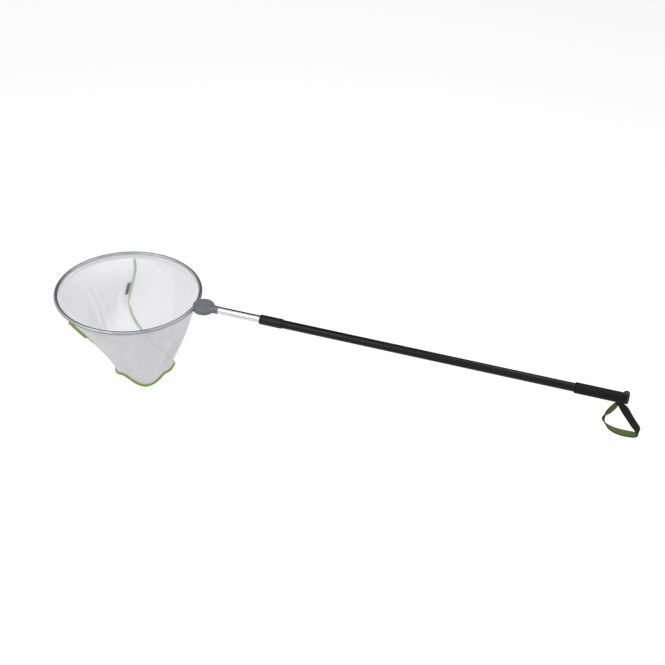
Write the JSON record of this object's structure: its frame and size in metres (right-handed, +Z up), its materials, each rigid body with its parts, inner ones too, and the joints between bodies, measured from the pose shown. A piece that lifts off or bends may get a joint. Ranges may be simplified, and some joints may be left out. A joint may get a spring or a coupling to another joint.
{
  "type": "pond net",
  "caption": "Round hand net with a deep fine-mesh bag on a twist-lock telescopic pole, with a hand grip and a wrist strap.",
  "frame": {"origin": "middle of the hand grip, on the axis of the pole", "axes": "+X along the pole from the hoop to the butt of the grip, +Z up out of the mouth of the bag"},
  "size_m": [1.4038, 0.3492, 0.3198],
  "materials": {
    "bare_aluminium": "drawn, bright",
    "black_enamel": "satin",
    "black_plastic": "satin, fine lengthwise ribs",
    "grip_rubber": "matt, fine grain",
    "dark_plastic": "satin",
    "grey_plastic": "satin, fine texture",
    "white_net": "fine open mesh",
    "white_tape": "plain weave",
    "green_tape": "plain weave",
    "olive_tape": "plain weave",
    "grey_label": "woven, bare",
    "black_webbing": "woven webbing",
    "steel": "zinc plated",
    "nylon": "natural"
  },
  "bodies": {
    "handle": {"outer_tube": "black_enamel", "guide_collar": "black_plastic", "grip_sleeve": "grip_rubber", "end_plug": "dark_plastic", "strap_pin": "steel"},
    "expander": {"expander_sleeve": "nylon"},
    "wedge": {"wedge_nut": "nylon"},
    "head": {"hoop": "bare_aluminium", "hem_cord": "white_tape", "hem_band": "white_tape", "net_panel_near": "white_net", "net_panel_far": "white_net", "seam_binding": "green_tape", "label_tab": "grey_label", "connector_body": "grey_plastic", "connector_cap": "grey_plastic", "connector_screw_left": "steel", "connector_screw_right": "steel", "connector_screw_front": "steel", "inner_tube": "bare_aluminium", "neck_rivet": "bare_aluminium", "lock_plug": "nylon", "lock_stud": "steel", "stop_nut": "steel"},
    "strap": {"wrist_strap": "black_webbing", "strap_lining": "olive_tape"}
  },
  "joints": [
    {"name": "pole_extend", "type": "slide", "parent": "handle", "child": "expander", "axis": [-1, 0, 0], "range_m": [-0.1, 0.5]},
    {"name": "lock_twist", "type": "hinge", "parent": "expander", "child": "head", "pos_m": [-0.1297, 0, 0], "axis": [1, 0, 0], "range_deg": [-180, 0]},
    {"name": "wedge_draw", "type": "slide", "parent": "expander", "child": "wedge", "axis": [1, 0, 0], "range_m": [0, 0.0011]},
    {"name": "strap_swing", "type": "hinge", "parent": "handle", "child": "strap", "pos_m": [0.044, 0, -0.004], "axis": [0, 1, 0], "range_deg": [-6, 15]}
  ],
  "couplings": [
    {"joint": "wedge_draw", "follows": "lock_twist", "m_per_rad": -0.00031831}
  ]
}
